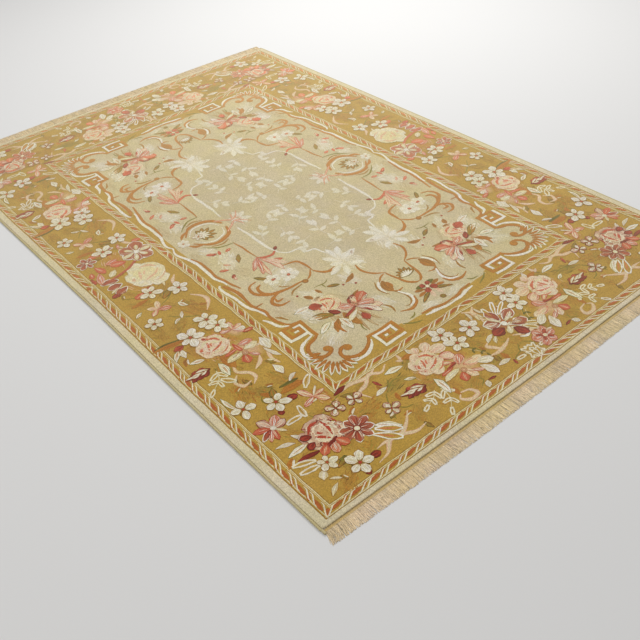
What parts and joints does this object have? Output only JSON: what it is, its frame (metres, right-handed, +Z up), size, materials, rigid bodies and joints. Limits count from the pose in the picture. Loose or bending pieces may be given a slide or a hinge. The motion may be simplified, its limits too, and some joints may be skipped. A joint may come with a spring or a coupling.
{
  "type": "silk rug",
  "caption": "Flat rectangular knotted silk rug with a flower border, a scroll-framed beige field, overcast long sides and a fringe at each short end.",
  "frame": {"origin": "on the floor, under the centre of the rug", "axes": "+X along the rug's length, +Y across it, +Z up out of the pile"},
  "size_m": [3.0002, 1.95, 0.007],
  "materials": {
    "pile": "silk pile",
    "selvedge": "wrapped silk",
    "fringe": "combed silk warp"
  },
  "bodies": {
    "root": {"pile_carpet": "pile", "selvedge_near": "selvedge", "selvedge_far": "selvedge", "end_weave_right": "fringe", "end_weave_left": "fringe"}
  },
  "joints": []
}
